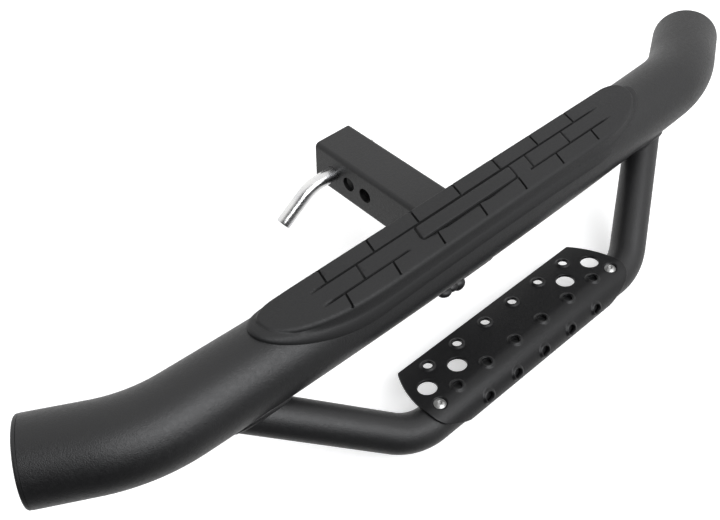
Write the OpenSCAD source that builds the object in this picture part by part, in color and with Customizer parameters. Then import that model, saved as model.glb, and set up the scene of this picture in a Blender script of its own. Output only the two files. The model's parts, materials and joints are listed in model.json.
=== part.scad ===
// Hitch receiver step: a bent cross tube with a moulded pad on top, a square shank
// for the receiver, and a lower hoop that carries a perforated plate.
// The origin is the pin hole nearest the vehicle, on the shank's centre line.
// X runs along the cross tube, Y points towards the vehicle, Z is up. Millimetres.

/* [Cross tube] */
// Outer diameter of the cross tube
tube_d = 76.2; // [70:0.1:82]
// Wall of the cross tube
tube_wall = 2.1; // [1.6:0.1:3.2]
// Radius of the long shallow bow of the middle stretch
bow_r = 8400; // [5000:100:20000]
// Half length of the middle stretch
middle_half = 337; // [325:1:360]
// Radius of each end bend, on the tube's centre line
end_bend_r = 157; // [120:1:200]
// Angle of each end bend
end_bend_a = 27; // [15:0.5:35]
// Straight length after each end bend
end_stub = 51; // [30:1:80]
// Length of an end cap outside the tube
cap_lip = 4; // [2:0.5:6]

/* [Receiver shank] */
// Outside width and height of the square shank
shank_w = 50.8; // [49:0.1:50.8]
// Wall of the shank
shank_wall = 5; // [4:0.1:6.4]
// Outside corner radius of the shank
shank_corner = 5; // [4:0.5:8]
// Distance from the pin hole in use to the cross tube's axis
pin_to_tube = 172; // [160:1:200]
// Height of the cross tube's axis above the shank's axis
tube_rise = 21.2; // [16:0.2:26]
// Shank length beyond the pin hole in use
shank_past_pin = 27.4; // [22:0.2:40]
// How far the shank reaches past the cross tube's axis, underneath
shank_tongue = 17; // [10:1:20]
// Diameter of the three pin holes
pin_hole_d = 16.7; // [16.3:0.1:17.5]
// Distance between pin holes
pin_hole_step = 25.2; // [23:0.1:30]

/* [Lower hoop] */
// Outer diameter of the hoop tube
hoop_d = 38.1; // [32:0.1:42]
// Wall of the hoop tube
hoop_wall = 2; // [1.5:0.1:3]
// Height of the hoop's top below the cross tube's axis
hoop_drop = 20; // [16:0.5:22]
// Slope of the hoop's plane below the horizontal
hoop_slope = 40.65; // [30:0.05:50]
// Distance down the hoop's plane to the straight run
hoop_depth = 121; // [105:1:140]
// Half width between the legs' axes at the cross tube
leg_top_x = 300.5; // [285:0.5:315]
// Half width between the legs' axes at the straight run
leg_low_x = 162.6; // [158:0.1:170]
// Bend radius of the hoop
hoop_bend_r = 65; // [50:1:75]

/* [Step plate] */
// Thickness of the plate
plate_t = 3; // [2:0.5:3]
// Downward tilt of the plate's flat towards the vehicle
plate_tilt = 8.8; // [0:0.1:12]
// Flat width from the hoop's top to the free edge
plate_flat = 53.6; // [52:0.2:60]
// Half length at the widest place, over the hoop
plate_half = 146.5; // [144:0.5:150]
// How much shorter each half is at the free edge
plate_taper = 17.3; // [8:0.1:26]
// Angle that the lip wraps round the hoop
lip_a = 109; // [100:1:120]
// Distance from the plate's end to the nearest flat dimple
dimple_inset = 43.4; // [41:0.1:48]
// Distances of the two flat dimple rows from the hoop's top
dimple_rows = [-0.4, 38.4];
// Angle of the dimple row on the lip
dimple_lip_a = 75.2; // [72:0.1:80]
// Diameter of a dimple's hole
dimple_hole_d = 9.5; // [8:0.5:10.5]
// Diameter of a dimple at its foot
dimple_foot_d = 16; // [14:0.5:17]
// Height of a dimple
dimple_h = 1.8; // [1:0.1:2.5]
// Diameter of the four large holes
drain_d = 19; // [14:0.5:20]

/* [Pad] */
// Half length of the pad's raised top
pad_half = 252; // [240:1:260]
// Height of the pad's top above the cross tube's axis
pad_h = 43; // [42:0.1:45]
// Lean of the pad's top towards the rear
pad_lean = 5.7; // [0:0.1:8]
// Width of the pad's grooves
groove_w = 1.8; // [1:0.1:2.5]
// Depth of the pad's grooves
groove_depth = 1.6; // [0.6:0.1:1.8]
// Half width of the middle row of blocks
row_half = 9; // [8:0.5:10]
// Length of a block
block_l = 56.8; // [50:0.2:60]
// Slant of the cross grooves
block_slant = 16; // [0:1:20]

/* [Pin and clip] */
// Diameter of the hitch pin
pin_d = 15.9; // [15.5:0.1:16.2]
// Length of the pin on the clip's side of the shank's middle
pin_tip_x = 38; // [36:0.5:44]
// Straight length of the pin on the handle's side
pin_bend_x = 44; // [38:0.5:60]
// Bend radius of the handle
handle_bend_r = 40; // [30:1:50]
// Angle of the handle below the pin
handle_a = 36; // [30:1:60]
// Straight length of the handle after its bend
handle_l = 37; // [25:1:50]
// Wire diameter of the hairpin clip
clip_wire = 3; // [2.5:0.1:3.5]

/* [Hidden] */
tube_r = tube_d/2;
hoop_r = hoop_d/2;
pin_r = pin_d/2;
bow_a = asin(middle_half/bow_r);
shank_low_y = -pin_to_tube - shank_tongue;
hoop_turn = atan2(hoop_depth, leg_top_x - leg_low_x);
hoop_run_half = leg_low_x - hoop_bend_r*tan(hoop_turn/2);
leg_l = norm([leg_top_x - leg_low_x, hoop_depth]) - hoop_bend_r*tan(hoop_turn/2);
plate_r = hoop_r + plate_t;
dimple_step = (plate_half - dimple_inset)/2.5;
// The legs run on into the cross tube before they are coped to it
leg_extra = 15;
// The plugs in the tube's ends: how far they reach in, their wall, rounding and clearance
cap_skirt_l = 14;
cap_skirt_t = 2.8;
cap_round = 2;
cap_fit = 0.5;
weld_size = 3.2;
// Weld lumps that run on from the shank's weld, under the cross tube
lump_x = [-33, -44];
lump_y = -21;
lump_z = -36;
lump_r = 7.6;
// Screws that hold the plate, one near each end of the hoop's straight run
screw_inset = 16.7;
screw_x = plate_half - screw_inset;
screw_r = 4;
screw_head_r = 6;
screw_head_h = 3;
screw_l = 18;
// A screw's head sinks this far into a flat seat on the lip, with play round head and shank
screw_sink = 2.3;
screw_seat_z = plate_r - screw_sink;
head_play = 0.4;
hole_play = 0.5;
hex_across = 4;
hex_depth = 2;
// Threaded inserts: body, the bulge below the hoop's wall, and their clearance
insert_r = 5.5;
insert_bulge = 1.3;
bulge_h = 3.2;
insert_gap = 0.1;
// Corner arc of the lip, drawn on the unrolled plate
lip_corner_r = 27;
lip_corner_a = 60;
lip_corner_start = -4;
end_arc_r = (pow(plate_flat - lip_corner_start, 2) + pow(plate_taper, 2))/(2*plate_taper);
// A dimple's rim round its hole, the metal it keeps at its foot, and how far one sinks into the lip
dimple_rim = 1.2;
dimple_web = 0.6;
dimple_sink = 0.9;
// Pad outline: its rear and front edges, and where its noses point
pad_near = -27.9;
pad_far = 26.7;
pad_nose_u = 12;
pad_near_nose = 106;
pad_far_nose = 27;
pad_crown_r = 250;
nose_power = 2.3;
skirt_power = 2;
// The long grooves end here; the rear one also stops on both sides of the bare panel
long_groove = 200;
low_groove = [-98, 72];
cross_shift = 6.4;
// The outer cross grooves run on past the pad's edge by this much
row_over = 4;
// The skirt reaches this far past the raised oval
skirt_t = 4;
skirt_out = 10.5;
skirt_near = -33.6;
skirt_far = 33.6;
skirt_nose_u = 9.5;
skirt_nose = 112;
// Bare panel in the middle row
plaque_half = 65;
plaque_x = -11;
plaque_h = 0.8;
plaque_gap = 1.6;
plaque_side = row_half - plaque_gap;
// Push-in clips under the pad, set in from its ends
clip_inset = 62;
clip_pitch = 80;
clip_outer = pad_half - clip_inset;
clip_inner = clip_outer - clip_pitch;
clip_spots = [-clip_outer, -clip_inner, clip_inner, clip_outer];
clip_stem_r = 3.2;
clip_head_r = 5;
clip_head_t = 1;
clip_stem_l = 7;
clip_barb = 1.4;
barb_l = 6;
clip_gap = 0.2;
pin_chamfer = 1.5;
// The clip hole of the hitch pin, and the clip's play in it and off the pin
clip_x = 32.5;
clip_play = 0.35;
clip_off_pin = 0.15;
clip_top = 7;
clip_leg = 25;
clip_wrap = 62;
// Straights run this far into their bends, whose wall is drawn thinner by a hair
seam = 0.3;
hair = 0.15;
// Fit between the plate and the hoop
plate_fit = 0.05;
// The plate's underside is eased by this much over the hoop's bends
bend_relief = 0.8;

// Frames

// The cross tube's axis at mid length
module at_tube() {
    translate([0, -pin_to_tube, tube_rise]) children();
}

// The hoop's own plane, with its straight run on the negative Y side
module at_hoop() {
    at_tube() translate([0, 0, -hoop_drop]) rotate([hoop_slope, 0, 0]) children();
}

// The axis of the hoop's straight run, with Z up again
module at_run() {
    at_hoop() translate([0, -hoop_depth, 0]) rotate([-hoop_slope, 0, 0]) children();
}

// The plate's flat, tilted about the axis of the hoop's straight run
module at_plate() {
    at_run() rotate([-plate_tilt, 0, 0]) children();
}

// The pad's top, leaning about the cross tube's axis
module at_pad() {
    at_tube() rotate([pad_lean, 0, 0]) children();
}

// Draws its children on both sides of the middle
module both_sides() {
    children();
    mirror([1, 0, 0]) children();
}

// Tubes

// A bend that starts along +X and turns towards +Y, thinner than its straights by a hair
module bend(radius, sweep, r, steps) {
    translate([0, radius, 0]) rotate([0, 0, -90]) rotate_extrude(angle = sweep, $fn = steps)
        translate([radius, 0]) circle(r - hair, $fn = 64);
}

// Moves its children to the end of such a bend
module past_bend(radius, sweep) {
    translate([radius*sin(sweep), radius*(1 - cos(sweep)), 0]) rotate([0, 0, sweep]) children();
}

// A straight round bar along X
module rod_x(r, l) {
    rotate([0, 90, 0]) cylinder(r = r, h = l, $fn = 64);
}

module rod_x_centred(r, l) {
    translate([-l/2, 0, 0]) rod_x(r, l);
}

// A straight that starts just inside the bend before it
module straight(r, l) {
    translate([-seam, 0, 0]) rod_x(r, l + seam);
}

// The cross tube as a solid bar of radius r, with its ends grown by extra
module cross_bar(r, extra = 0) {
    bow_reach = bow_a + seam/bow_r*180/PI;
    translate([0, bow_r, 0]) rotate([0, 0, -90 - bow_reach])
        rotate_extrude(angle = 2*bow_reach, $fn = 1440) translate([bow_r, 0]) circle(r, $fn = 64);
    both_sides() past_bend(bow_r, bow_a) {
        bend(end_bend_r, end_bend_a, r, 120);
        past_bend(end_bend_r, end_bend_a) straight(r, end_stub + extra);
    }
}

// Moves its children to the open end of the cross tube, X outwards
module at_tube_end() {
    past_bend(bow_r, bow_a) past_bend(end_bend_r, end_bend_a) translate([end_stub, 0, 0]) children();
}

// The hoop as a solid bar of radius r, in its own plane
module hoop_bar(r, extra = 0) {
    translate([0, -hoop_depth, 0]) {
        rod_x_centred(r, 2*(hoop_run_half + seam));
        both_sides() translate([hoop_run_half, 0, 0]) {
            bend(hoop_bend_r, hoop_turn, r, 120);
            past_bend(hoop_bend_r, hoop_turn) straight(r, leg_l + leg_extra + extra);
        }
    }
}

// How far the bow carries the cross tube's axis towards the vehicle at x
function bow_y(x) = bow_r - sqrt(bow_r*bow_r - x*x);

module main_tube() {
    color("#2b2b2d") at_tube() difference() {
        cross_bar(tube_r);
        cross_bar(tube_r - tube_wall, 1);
        for (x = clip_spots) pad_clip_hole(x);
    }
}

module pad_clip_hole(x) {
    translate([x, bow_y(x), 0]) rotate([pad_lean, 0, 0])
        translate([0, 0, tube_r/2]) cylinder(r = clip_stem_r + clip_gap, h = tube_r, $fn = 48);
}

// A moulded plug with a rounded lip over the tube's end and a skirt inside it
module end_cap() {
    edge = min(cap_round, cap_lip/2);
    skirt_r = tube_r - tube_wall - cap_fit;
    color("#1e1e20") at_tube() at_tube_end() rotate([0, 90, 0]) rotate_extrude($fn = 96) union() {
        square([tube_r - edge, cap_lip]);
        square([tube_r, cap_lip - edge]);
        translate([tube_r - edge, cap_lip - edge]) circle(edge, $fn = 32);
        translate([skirt_r - cap_skirt_t, -cap_skirt_l])
            square([cap_skirt_t, cap_skirt_l + cap_lip/2]);
    }
}

module end_cap_right() {
    end_cap();
}

module end_cap_left() {
    mirror([1, 0, 0]) end_cap();
}

// Shank

module rounded_square(w, r) {
    square([w, w - 2*r], center = true);
    square([w - 2*r, w], center = true);
    for (x = [-1, 1], z = [-1, 1]) translate([x*(w/2 - r), z*(w/2 - r)]) circle(r, $fn = 48);
}

// A square bar along Y between two places
module bar_y(w, r, from_y, to_y) {
    translate([0, to_y, 0]) rotate([90, 0, 0])
        linear_extrude(height = to_y - from_y) rounded_square(w, r);
}

module pin_hole_row() {
    for (i = [0:2]) translate([-shank_w, -i*pin_hole_step, 0])
        rod_x(pin_hole_d/2, 2*shank_w);
}

module receiver_shank() {
    color("#303032") difference() {
        bar_y(shank_w, shank_corner, shank_low_y, shank_past_pin);
        bar_y(shank_w - 2*shank_wall, max(shank_corner - shank_wall, 1), shank_low_y - 1,
              shank_past_pin + 1);
        at_tube() cross_bar(tube_r);
        pin_hole_row();
    }
}

// The bead where the shank meets the cross tube, with two lumps at its lower left end
module shank_weld() {
    color("#262628") difference() {
        union() {
            intersection() {
                bar_y(shank_w + 2*weld_size, shank_corner + weld_size, shank_low_y - weld_size,
                      -pin_to_tube + tube_r + 3*weld_size);
                at_tube() cross_bar(tube_r + weld_size);
            }
            at_tube() for (x = lump_x) translate([x, lump_y, lump_z]) sphere(r = lump_r, $fn = 48);
        }
        at_tube() cross_bar(tube_r);
        bar_y(shank_w, shank_corner, shank_low_y, shank_past_pin);
    }
}

// Hoop

module drop_tube() {
    color("#2b2b2d") difference() {
        at_hoop() difference() {
            hoop_bar(hoop_r);
            hoop_bar(hoop_r - hoop_wall, 1);
        }
        at_tube() cross_bar(tube_r);
        both_sides() at_run() translate([screw_x, 0, 0]) cylinder(r = insert_r, h = 2*hoop_r, $fn = 48);
    }
}

// The bead round the top of one leg
module leg_weld() {
    color("#262628") difference() {
        intersection() {
            at_hoop() hoop_bar(hoop_r + weld_size);
            at_tube() cross_bar(tube_r + weld_size);
            translate([leg_top_x/2, -2*pin_to_tube, -pin_to_tube]) cube(2*pin_to_tube);
        }
        at_tube() cross_bar(tube_r);
        at_hoop() hoop_bar(hoop_r);
    }
}

module leg_weld_right() {
    leg_weld();
}

module leg_weld_left() {
    mirror([1, 0, 0]) leg_weld();
}

// Plate

// Half length of the unrolled plate at s, measured from the hoop's top to the free edge
function plate_x(s) =
    s >= lip_corner_start ? plate_half - end_arc_r + sqrt(pow(end_arc_r, 2) - pow(s - lip_corner_start, 2))
    : s >= lip_corner_start - lip_corner_r*sin(lip_corner_a)
        ? plate_half - lip_corner_r + sqrt(pow(lip_corner_r, 2) - pow(s - lip_corner_start, 2))
    : plate_half - lip_corner_r*(1 - cos(lip_corner_a))
        + (s - lip_corner_start + lip_corner_r*sin(lip_corner_a))*tan(lip_corner_a);

// Distance along the lip's outer face at angle a
function lip_s(a) = -plate_r*a*PI/180;

module flat_outline() {
    side = [for (i = [0:8]) let (s = i*plate_flat/8) [plate_x(s), s]];
    mirrored = [for (i = [8:-1:0]) [-side[i].x, side[i].y]];
    polygon(concat(side, mirrored));
}

// The lip seen from the front, with its rounded and slanted ends
module lip_outline() {
    side = [for (i = [0:16]) let (a = i*lip_a/16) [plate_x(lip_s(a)), plate_r*cos(a)]];
    all = concat([[side[0].x, plate_r + 1]], side, [[side[16].x, -plate_r]]);
    polygon(concat(all, [for (i = [len(all) - 1:-1:0]) [-all[i].x, all[i].y]]));
}

// The part of a sleeve round the hoop that the lip takes up
module lip_sleeve() {
    inner_r = hoop_r + plate_fit;
    translate([-plate_half, 0, 0]) rotate([0, 90, 0]) rotate([0, 0, 180])
        rotate_extrude(angle = lip_a, $fn = 144)
            translate([inner_r, 0]) square([plate_r - inner_r, 2*plate_half]);
}

// A dimple, whose foot goes down into the curve of the lip
module dimple_solid() {
    cylinder(r1 = dimple_foot_d/2, r2 = dimple_hole_d/2 + dimple_rim, h = dimple_h, $fn = 40);
    translate([0, 0, -plate_t/2]) cylinder(r = dimple_foot_d/2, h = plate_t/2, $fn = 40);
}

// The hollow under a dimple and its hole
module dimple_void() {
    translate([0, 0, -plate_t - seam])
        cylinder(r1 = dimple_foot_d/2 - dimple_web, r2 = dimple_hole_d/2, h = dimple_h, $fn = 40);
    translate([0, 0, -2*plate_t]) cylinder(r = dimple_hole_d/2, h = 3*plate_t + dimple_h, $fn = 40);
}

module at_dimples() {
    for (i = [0:5], y = dimple_rows) translate([(i - 2.5)*dimple_step, y, plate_r]) children();
    for (i = [-2:2]) translate([i*dimple_step, 0, 0]) rotate([dimple_lip_a, 0, 0])
        translate([0, 0, plate_r - dimple_sink]) children();
}

module step_plate() {
    drain_y = (dimple_rows[0] + dimple_rows[1])/2;
    color("#222224") difference() {
        at_plate() difference() {
            union() {
                translate([0, 0, hoop_r + plate_fit])
                    linear_extrude(height = plate_t - plate_fit) flat_outline();
                intersection() {
                    lip_sleeve();
                    rotate([90, 0, 0]) linear_extrude(height = 2*plate_r) lip_outline();
                }
                at_dimples() dimple_solid();
            }
            at_dimples() dimple_void();
            for (i = [-3, -2, 2, 3]) translate([i*dimple_step, drain_y, 0])
                cylinder(r = drain_d/2, h = 2*plate_r, $fn = 64);
            both_sides() translate([hoop_run_half, 0, 0]) rod_x(hoop_r + bend_relief, plate_half);
        }
        both_sides() at_run() translate([screw_x, 0, 0]) {
            cylinder(r = screw_r + hole_play, h = 2*plate_r, $fn = 48);
            translate([0, 0, screw_seat_z]) cylinder(r = screw_head_r + head_play, h = plate_r, $fn = 48);
        }
    }
}

// A button head screw with a hexagon socket, standing on the plate
module plate_screw() {
    dome_r = (pow(screw_head_r, 2) + pow(screw_head_h, 2))/(2*screw_head_h);
    color("#c9cacc") at_run() translate([screw_x, 0, screw_seat_z]) difference() {
        union() {
            intersection() {
                cylinder(r = screw_head_r, h = screw_head_h, $fn = 64);
                translate([0, 0, screw_head_h - dome_r]) sphere(r = dome_r, $fn = 64);
            }
            translate([0, 0, -screw_l]) cylinder(r = screw_r - insert_gap, h = screw_l + seam, $fn = 48);
        }
        translate([0, 0, screw_head_h - hex_depth])
            cylinder(d = hex_across/cos(30), h = screw_head_h, $fn = 6);
    }
}

module plate_screw_right() {
    plate_screw();
}

module plate_screw_left() {
    mirror([1, 0, 0]) plate_screw();
}

// A threaded insert set in the hoop's wall, with the bulge that holds it below the wall
module plate_insert() {
    flush_z = sqrt(hoop_r*hoop_r - insert_r*insert_r) - insert_gap;
    inner_z = sqrt(pow(hoop_r - hoop_wall, 2) - pow(insert_r + insert_bulge, 2)) - insert_gap;
    color("#a9abad") at_run() translate([screw_x, 0, 0]) difference() {
        union() {
            translate([0, 0, plate_fit]) cylinder(r = insert_r - plate_fit, h = flush_z, $fn = 48);
            translate([0, 0, inner_z - bulge_h])
                cylinder(r = insert_r + insert_bulge, h = bulge_h, $fn = 48);
        }
        cylinder(r = screw_r, h = 2*hoop_r, $fn = 48);
    }
}

module plate_insert_right() {
    plate_insert();
}

module plate_insert_left() {
    mirror([1, 0, 0]) plate_insert();
}

// Pad

// A quarter of a rounded nose, from its side to its point
function nose(cx, cu, a, b, steps, power) = [for (i = [0:steps]) let (t = 90*i/steps)
    [cx + a*pow(sin(t), 2/power), cu + b*pow(cos(t), 2/power)]];

function reversed(list) = [for (i = [len(list) - 1:-1:0]) list[i]];

// An oval with long straight sides, whose two noses point at the width cu
module oval(half, cu, near, far, near_l, far_l, power) {
    near_side = nose(half - near_l, cu, near_l, near - cu, 6, power);
    far_side = reversed(nose(half - far_l, cu, far_l, far - cu, 4, power));
    side = concat(near_side, far_side);
    polygon(concat(side, [for (p = reversed(side)) [-p.x, p.y]]));
}

// Everything under the crowned top of the pad, sunk by depth
module under_crown(depth) {
    translate([-1.1*pad_half, 0, pad_h - pad_crown_r]) rotate([0, 90, 0])
        cylinder(r = pad_crown_r - depth, h = 2.2*pad_half, $fn = 360);
}

// A wall along X at the width u
module long_wall(from_x, to_x, u) {
    translate([from_x, u - groove_w/2, tube_r/2]) cube([to_x - from_x, groove_w, tube_r]);
}

// A slanted wall across a row of blocks, centred at [x, u]
module cross_wall(x, u, l) {
    translate([x, u, tube_r/2]) rotate([0, 0, -block_slant])
        translate([-groove_w/2, -l/2, 0]) cube([groove_w, l, tube_r]);
}

// The walls that part the blocks: long ones, and slanted ones across the three rows
module groove_walls() {
    side_row = pad_far - row_half + row_over;
    long_wall(-long_groove, long_groove, row_half);
    long_wall(-long_groove, low_groove[0], -row_half);
    long_wall(low_groove[1], long_groove, -row_half);
    for (i = [-3:3], u = [row_half + side_row/2, -row_half - side_row/2])
        cross_wall(i*block_l - cross_shift, u, side_row);
    for (i = [-2.5, 1.5, 2.5]) cross_wall(i*block_l - cross_shift, 0, 2*row_half);
}

// The bare panel in the middle row, with ends slanted like the cross grooves
module plaque(grow) {
    half = plaque_half + grow;
    side = plaque_side + grow;
    slant = side*tan(block_slant);
    translate([plaque_x, 0, tube_r/2]) linear_extrude(height = tube_r)
        polygon([[-half - slant, -side], [half - slant, -side], [half + slant, side], [slant - half, side]]);
}

// The raised oval with its blocks, down to the cross tube's axis
module pad_top() {
    intersection() {
        translate([0, 0, tube_r/2]) linear_extrude(height = tube_r)
            oval(pad_half, pad_nose_u, pad_near, pad_far, pad_near_nose, pad_far_nose, nose_power);
        union() {
            under_crown(groove_depth);
            difference() {
                under_crown(0);
                groove_walls();
                plaque(groove_w);
            }
            intersection() {
                plaque(0);
                under_crown(-plaque_h);
            }
        }
    }
}

// The thin skirt that lies on the cross tube round the raised oval
module pad_skirt() {
    intersection() {
        translate([0, 0, tube_r/8]) linear_extrude(height = 2*tube_r)
            oval(pad_half + skirt_out, skirt_nose_u, skirt_near, skirt_far, skirt_nose, skirt_nose,
                 skirt_power);
        rotate([-pad_lean, 0, 0]) cross_bar(tube_r + skirt_t);
    }
}

module step_pad() {
    color("#3a3a3c") at_pad() difference() {
        union() {
            pad_top();
            pad_skirt();
        }
        rotate([-pad_lean, 0, 0]) cross_bar(tube_r);
        for (x = clip_spots) translate([x, bow_y(x), tube_r/2])
            cylinder(r = clip_head_r + clip_gap, h = tube_r/2 + clip_head_t + 2*clip_gap, $fn = 48);
    }
}

// A push-in clip that holds the pad: a flat head, a stem and a barb inside the tube
module pad_clip(i) {
    x = clip_spots[i];
    color("#8a8a86") at_tube() translate([x, bow_y(x), 0]) rotate([pad_lean, 0, 0])
        translate([0, 0, tube_r]) {
            translate([0, 0, clip_gap]) cylinder(r = clip_head_r, h = clip_head_t, $fn = 48);
            translate([0, 0, -clip_stem_l]) cylinder(r = clip_stem_r, h = clip_stem_l + 2*clip_gap, $fn = 48);
            translate([0, 0, -tube_wall - clip_barb/2 - barb_l])
                cylinder(r1 = clip_stem_r/2, r2 = clip_stem_r + clip_barb, h = barb_l, $fn = 48);
        }
}

module pad_clip_1() {
    pad_clip(0);
}

module pad_clip_2() {
    pad_clip(1);
}

module pad_clip_3() {
    pad_clip(2);
}

module pad_clip_4() {
    pad_clip(3);
}

// Pin and clip

// The pin lies in the first hole, its handle hanging down on the left
module hitch_pin() {
    tip = pin_tip_x - pin_chamfer;
    color("#d4d6d8") difference() {
        union() {
            translate([-pin_bend_x - seam, 0, 0]) rod_x(pin_r, pin_bend_x + seam + tip);
            translate([tip, 0, 0]) rotate([0, 90, 0])
                cylinder(r1 = pin_r, r2 = pin_r - pin_chamfer, h = pin_chamfer, $fn = 48);
            mirror([1, 0, 0]) translate([pin_bend_x, 0, 0]) rotate([-90, 0, 0]) {
                bend(handle_bend_r, handle_a, pin_r, 144);
                past_bend(handle_bend_r, handle_a) straight(pin_r, handle_l);
            }
        }
        translate([clip_x, 0, -pin_d]) cylinder(r = clip_wire/2 + clip_play, h = 2*pin_d, $fn = 40);
    }
}

// A hairpin clip: one straight leg through the pin, the other bowed round it
module hairpin_clip() {
    r = clip_wire/2;
    hump_r = pin_r + r + clip_off_pin;
    color("#b9bbbd") translate([clip_x, 0, 0]) {
        translate([0, 0, -clip_leg]) cylinder(r = r, h = clip_leg + pin_r + clip_top, $fn = 36);
        translate([0, hump_r/2, -clip_leg]) rotate([90, 0, 90])
            rotate_extrude(angle = -180, $fn = 96) translate([hump_r/2, 0]) circle(r, $fn = 36);
        translate([0, hump_r, -clip_leg]) cylinder(r = r, h = clip_leg, $fn = 36);
        rotate([90, 0, 90]) rotate_extrude(angle = clip_wrap, $fn = 120)
            translate([hump_r, 0]) circle(r, $fn = 36);
    }
}

main_tube();
end_cap_left();
end_cap_right();
step_pad();
pad_clip_1();
pad_clip_2();
pad_clip_3();
pad_clip_4();
receiver_shank();
shank_weld();
drop_tube();
leg_weld_left();
leg_weld_right();
step_plate();
plate_screw_left();
plate_screw_right();
plate_insert_left();
plate_insert_right();
hitch_pin();
hairpin_clip();
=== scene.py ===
import json
import math
import random

import bmesh
import bpy
import numpy as np
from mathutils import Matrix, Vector, geometry

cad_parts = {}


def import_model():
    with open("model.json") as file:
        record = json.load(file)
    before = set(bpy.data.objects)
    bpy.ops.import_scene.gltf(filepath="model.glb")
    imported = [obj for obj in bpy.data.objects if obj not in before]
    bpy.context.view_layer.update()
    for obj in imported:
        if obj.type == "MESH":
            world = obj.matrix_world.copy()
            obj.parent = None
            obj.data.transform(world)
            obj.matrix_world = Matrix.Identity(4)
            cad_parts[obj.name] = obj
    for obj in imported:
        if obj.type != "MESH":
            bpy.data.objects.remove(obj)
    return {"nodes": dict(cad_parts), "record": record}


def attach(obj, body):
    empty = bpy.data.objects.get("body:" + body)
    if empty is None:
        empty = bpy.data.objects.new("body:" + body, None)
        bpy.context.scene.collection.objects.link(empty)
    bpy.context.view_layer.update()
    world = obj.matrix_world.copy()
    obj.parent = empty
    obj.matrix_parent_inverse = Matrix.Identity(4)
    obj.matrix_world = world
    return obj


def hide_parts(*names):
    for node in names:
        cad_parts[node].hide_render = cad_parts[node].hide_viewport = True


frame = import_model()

# Sizes in millimetres, the same as in the part's source

TUBE_R, TUBE_WALL = 38.1, 2.1
BOW_R, MIDDLE_HALF = 8400.0, 337.0
END_BEND_R, END_BEND_A, END_STUB, CAP_LIP = 157.0, math.radians(27), 51.0, 4.0
PIN_TO_TUBE, TUBE_RISE = 172.0, 21.2
SHANK_W, SHANK_CORNER = 50.8, 5.0
HOOP_R, HOOP_DROP = 19.05, 20.0
HOOP_SLOPE, HOOP_DEPTH = math.radians(40.65), 121.0
LEG_TOP_X, LEG_LOW_X, HOOP_BEND_R = 300.5, 162.6, 65.0
PLATE_T, PLATE_TILT, PLATE_FLAT = 3.0, math.radians(8.8), 53.6
PLATE_HALF, PLATE_TAPER, LIP_A = 146.5, 17.3, math.radians(109)
DIMPLE_INSET, DIMPLE_ROWS, DIMPLE_LIP_A = 43.4, (-0.4, 38.4), math.radians(75.2)
DIMPLE_HOLE_R, DIMPLE_FOOT_R, DIMPLE_H, DRAIN_R = 4.75, 8.0, 1.8, 9.5
PAD_HALF, PAD_H, PAD_LEAN, PAD_CROWN_R = 252.0, 43.0, math.radians(5.7), 250.0
PAD_NEAR, PAD_FAR, PAD_NOSE_U, PAD_FAR_NOSE = -27.9, 26.7, 12.0, 27.0
PAD_NOSE_RIGHT, PAD_NOSE_LEFT = 96.0, 124.0
NOSE_POWER, SKIRT_POWER = 2.3, 2.0
SKIRT_T, SKIRT_OUT, SKIRT_NEAR, SKIRT_FAR = 4.0, 10.5, -33.6, 33.6
SKIRT_NOSE_U, SKIRT_NOSE, SKIRT_FAR_LEFT = 9.5, 112.0, 34.0
GROOVE_W, GROOVE_DEPTH, ROW_HALF, BLOCK_L = 1.8, 2.8, 9.0, 56.8
BLOCK_SLANT, CROSS_SHIFT, LONG_GROOVE, LOW_GROOVE = math.radians(16), 6.4, 200.0, (-98.0, 72.0)
PLAQUE_HALF, PLAQUE_X, PLAQUE_H, PLAQUE_SIDE = 65.0, -11.0, 0.8, 7.4
NEAR_ROW_END, GROOVE_FADE, PLAQUE_CORNER = 23.4, 14.0, 2.8
SCREW_X, SCREW_HEAD_R, SCREW_HEAD_H, SCREW_SINK = 129.8, 6.0, 3.0, 2.3
SCREW_R, SCREW_L, SCREW_HOLE_R, HEX_ACROSS, HEX_DEPTH = 3.9, 18.0, 4.4, 4.0, 2.0
CAP_SKIRT_L, CAP_SKIRT_T, CAP_FIT, CAP_ROUND = 14.0, 2.8, 0.5, 2.0
PIN_R, PIN_TIP_X, PIN_BEND_X, PIN_CHAMFER = 7.95, 38.0, 44.0, 1.5
HANDLE_BEND_R, HANDLE_A, HANDLE_L = 40.0, math.radians(36), 37.0
CLIP_R, CLIP_X, CLIP_TOP, CLIP_LEG, CLIP_OFF, CLIP_WRAP = 1.5, 32.5, 7.0, 25.0, 0.15, math.radians(62)
TUBE_AT = Vector((0, -PIN_TO_TUBE, TUBE_RISE))
MM = 0.001

# The camera, from a fit to the photograph: its place is given from the cross tube's middle

IMAGE_W, FOCAL_PX, SENSOR_W = 720, 954.2, 36.0
CAMERA_AZ, CAMERA_EL = math.radians(-42.9), math.radians(44.49)
CAMERA_FROM_TUBE = Vector((-548.55, -433.98, 633.89))

bow_a = math.asin(MIDDLE_HALF / BOW_R)
hoop_turn = math.atan2(HOOP_DEPTH, LEG_TOP_X - LEG_LOW_X)
hoop_run_half = LEG_LOW_X - HOOP_BEND_R * math.tan(hoop_turn / 2)
leg_l = math.hypot(LEG_TOP_X - LEG_LOW_X, HOOP_DEPTH) - HOOP_BEND_R * math.tan(hoop_turn / 2)
plate_r = HOOP_R + PLATE_T
dimple_step = (PLATE_HALF - DIMPLE_INSET) / 2.5
rnd = random.Random(7)

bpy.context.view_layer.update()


# Materials

def shader(name, rough, metal=0.0, spec=0.5):
    m = bpy.data.materials.new(name)
    m.use_nodes = True
    nt = m.node_tree
    b = nt.nodes["Principled BSDF"]
    b.inputs["Roughness"].default_value = rough
    b.inputs["Metallic"].default_value = metal
    b.inputs["Specular IOR Level"].default_value = spec
    return m, nt, b


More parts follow.
